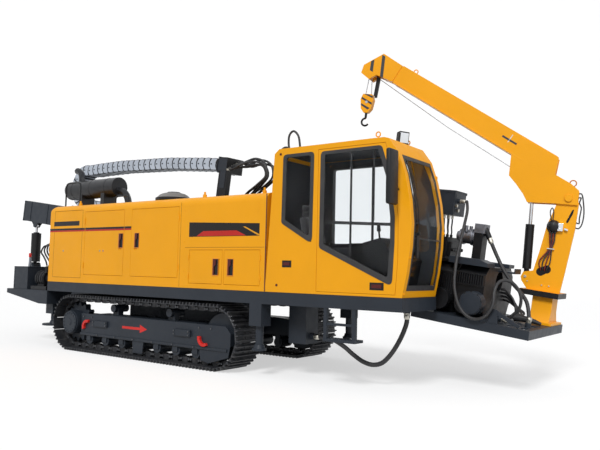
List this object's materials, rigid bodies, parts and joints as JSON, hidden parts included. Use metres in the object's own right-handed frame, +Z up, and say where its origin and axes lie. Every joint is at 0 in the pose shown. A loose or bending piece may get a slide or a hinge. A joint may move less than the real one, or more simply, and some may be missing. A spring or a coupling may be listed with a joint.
{
  "type": "horizontal directional drill",
  "caption": "Crawler drill rig with side cab and engine hood, tilting drill frame with sliding power head, vises, jacks and a loading crane.",
  "frame": {"origin": "on the ground under the middle of the machine's box", "axes": "+X towards the front platform and crane, +Y to the operator's left, +Z up"},
  "size_m": [11.2412, 2.8204, 4.6806],
  "materials": {
    "yellow_paint": "semi-gloss yellow-orange enamel",
    "slate_paint": "satin slate grey enamel",
    "black_paint": "satin black enamel",
    "track_steel": "worn black steel",
    "chain_steel": "zinc-plated steel plates",
    "rod_chrome": "polished hard chrome",
    "tool_steel": "machined steel",
    "engine_iron": "painted cast iron",
    "tinted_glass": "clear, lightly tinted",
    "cab_plastic": "grained black plastic",
    "seat_cloth": "black woven cloth",
    "hose_rubber": "black hydraulic hose"
  },
  "bodies": {
    "chassis": {"chassis_frame": "slate_paint", "rear_frame": "slate_paint", "undercarriage_beam": "slate_paint", "track_R": "track_steel", "track_L": "track_steel", "track_frame_R": "slate_paint", "track_frame_L": "slate_paint", "idler_R": "slate_paint", "idler_L": "slate_paint", "sprocket_R": "slate_paint", "sprocket_L": "slate_paint", "hood_shell": "yellow_paint", "engine_block": "engine_iron", "muffler": "black_paint", "vent_dome": "slate_paint", "hood_rail_rear": "black_paint", "hood_rail_front": "black_paint", "cab_shell": "yellow_paint", "rear_side_glass": "tinted_glass", "far_side_glass": "tinted_glass", "windscreen": "tinted_glass", "seat": "seat_cloth", "console": "cab_plastic", "mirror": "cab_plastic", "work_light": "cab_plastic", "cab_step": "slate_paint", "rear_box": "slate_paint", "mud_hose": "hose_rubber"},
    "jack_FR": {"jack_leg_FR": "slate_paint"},
    "jack_FL": {"jack_leg_FL": "slate_paint"},
    "jack_RR": {"jack_leg_RR": "slate_paint"},
    "jack_RL": {"jack_leg_RL": "slate_paint"},
    "hood_door_1": {"hood_door_1": "yellow_paint"},
    "hood_door_2": {"hood_door_2": "yellow_paint"},
    "hood_door_3": {"hood_door_3": "yellow_paint"},
    "hood_door_4": {"hood_door_4": "yellow_paint"},
    "cab_door": {"cab_door": "yellow_paint", "door_glass": "tinted_glass"},
    "lift_barrel_R": {"lift_barrel_R": "black_paint"},
    "lift_rod_R": {"lift_rod_R": "rod_chrome"},
    "lift_barrel_L": {"lift_barrel_L": "black_paint"},
    "lift_rod_L": {"lift_rod_L": "rod_chrome"},
    "drill_mast": {"drill_frame": "slate_paint", "hose_chain": "chain_steel", "front_platform": "slate_paint", "vise_rear": "black_paint", "vise_front": "black_paint", "valve_box": "slate_paint", "crane_base": "yellow_paint", "loop_hose": "hose_rubber", "diagonal_hose": "hose_rubber"},
    "carriage": {"power_head": "black_paint"},
    "spindle": {"spindle": "tool_steel"},
    "crane_column": {"crane_column": "yellow_paint"},
    "luff_barrel": {"luff_barrel": "black_paint"},
    "luff_rod": {"luff_rod": "rod_chrome"},
    "crane_boom": {"boom_outer": "yellow_paint"},
    "boom_extension": {"boom_inner": "yellow_paint"},
    "hook": {"hook_block": "yellow_paint"}
  },
  "joints": [
    {"name": "jack_FR_slide", "type": "slide", "parent": "chassis", "child": "jack_FR", "axis": [0, 0, -1], "range_m": [0, 0.355]},
    {"name": "jack_FL_slide", "type": "slide", "parent": "chassis", "child": "jack_FL", "axis": [0, 0, -1], "range_m": [0, 0.355]},
    {"name": "jack_RR_slide", "type": "slide", "parent": "chassis", "child": "jack_RR", "axis": [0, 0, -1], "range_m": [0, 0.355]},
    {"name": "jack_RL_slide", "type": "slide", "parent": "chassis", "child": "jack_RL", "axis": [0, 0, -1], "range_m": [0, 0.355]},
    {"name": "hood_door_1_hinge", "type": "hinge", "parent": "chassis", "child": "hood_door_1", "pos_m": [-1.82488, -1.08985, 1.83], "axis": [0, 0, 1], "range_deg": [-90, 0]},
    {"name": "hood_door_2_hinge", "type": "hinge", "parent": "chassis", "child": "hood_door_2", "pos_m": [0.45512, -1.08985, 1.83], "axis": [0, 0, -1], "range_deg": [-90, 0]},
    {"name": "hood_door_3_hinge", "type": "hinge", "parent": "chassis", "child": "hood_door_3", "pos_m": [0.70512, -1.08985, 1.47], "axis": [0, 0, 1], "range_deg": [-90, 0]},
    {"name": "hood_door_4_hinge", "type": "hinge", "parent": "chassis", "child": "hood_door_4", "pos_m": [2.04512, -1.08985, 1.47], "axis": [0, 0, -1], "range_deg": [-90, 0]},
    {"name": "cab_door_hinge", "type": "hinge", "parent": "chassis", "child": "cab_door", "pos_m": [2.97512, -1.08985, 2], "axis": [0, 0, -1], "range_deg": [0, 170]},
    {"name": "mast_tilt", "type": "hinge", "parent": "chassis", "child": "drill_mast", "pos_m": [2.61512, 0.16015, 1.23], "axis": [0, 1, 0], "range_deg": [-0.4, 3.5]},
    {"name": "lift_barrel_R_pivot", "type": "hinge", "parent": "chassis", "child": "lift_barrel_R", "pos_m": [-5.18488, 0.08515, 1.44], "axis": [0, 1, 0], "range_deg": [-2, 7]},
    {"name": "lift_rod_R_slide", "type": "slide", "parent": "lift_barrel_R", "child": "lift_rod_R", "axis": [-0.0004, 0, 1], "range_m": [-0.06, 0.5]},
    {"name": "lift_barrel_L_pivot", "type": "hinge", "parent": "chassis", "child": "lift_barrel_L", "pos_m": [-5.18488, 1.25515, 1.44], "axis": [0, 1, 0], "range_deg": [-2, 7]},
    {"name": "lift_rod_L_slide", "type": "slide", "parent": "lift_barrel_L", "child": "lift_rod_L", "axis": [-0.0004, 0, 1], "range_m": [-0.06, 0.5]},
    {"name": "carriage_slide", "type": "slide", "parent": "drill_mast", "child": "carriage", "axis": [0.9914, 0, -0.1305], "range_m": [0, 2.9]},
    {"name": "spindle_spin", "type": "hinge", "parent": "carriage", "child": "spindle", "pos_m": [0.59521, 0.67015, 1.89938], "axis": [0.9914, 0, -0.1305], "continuous": true},
    {"name": "crane_slew", "type": "hinge", "parent": "drill_mast", "child": "crane_column", "pos_m": [5.14331, 1.11015, 0.89716], "axis": [-0.1305, 0, -0.9914], "range_deg": [-20, 170]},
    {"name": "boom_luff", "type": "hinge", "parent": "crane_column", "child": "crane_boom", "pos_m": [5.46852, 1.1351, 2.46815], "axis": [0.2061, -0.9781, -0.0271], "range_deg": [-35, 15]},
    {"name": "luff_barrel_pivot", "type": "hinge", "parent": "crane_column", "child": "luff_barrel", "pos_m": [4.93278, 1.05069, 1.44129], "axis": [0.2061, -0.9781, -0.0271], "range_deg": [-8, 8]},
    {"name": "luff_rod_slide", "type": "slide", "parent": "luff_barrel", "child": "luff_rod", "axis": [0.0844, -0.0099, 0.9964], "range_m": [-0.14, 0.3]},
    {"name": "boom_extend", "type": "slide", "parent": "crane_boom", "child": "boom_extension", "axis": [-0.8019, -0.1848, 0.5682], "range_m": [0, 1.2]},
    {"name": "hook_swing", "type": "hinge", "parent": "boom_extension", "child": "hook", "pos_m": [2.80146, 0.518, 4.45217], "axis": [0.2061, -0.9781, -0.0271], "range_deg": [-15, 35]}
  ],
  "couplings": [
    {"joint": "lift_barrel_R_pivot", "follows": "mast_tilt", "ratio": 0.98124},
    {"joint": "lift_rod_R_slide", "follows": "mast_tilt", "m_per_rad": 7.8016},
    {"joint": "lift_barrel_L_pivot", "follows": "mast_tilt", "ratio": 0.98124},
    {"joint": "lift_rod_L_slide", "follows": "mast_tilt", "m_per_rad": 7.8016},
    {"joint": "luff_barrel_pivot", "follows": "boom_luff", "ratio": 0.0465},
    {"joint": "luff_rod_slide", "follows": "boom_luff", "m_per_rad": -0.44823},
    {"joint": "hook_swing", "follows": "boom_luff", "ratio": -1}
  ]
}
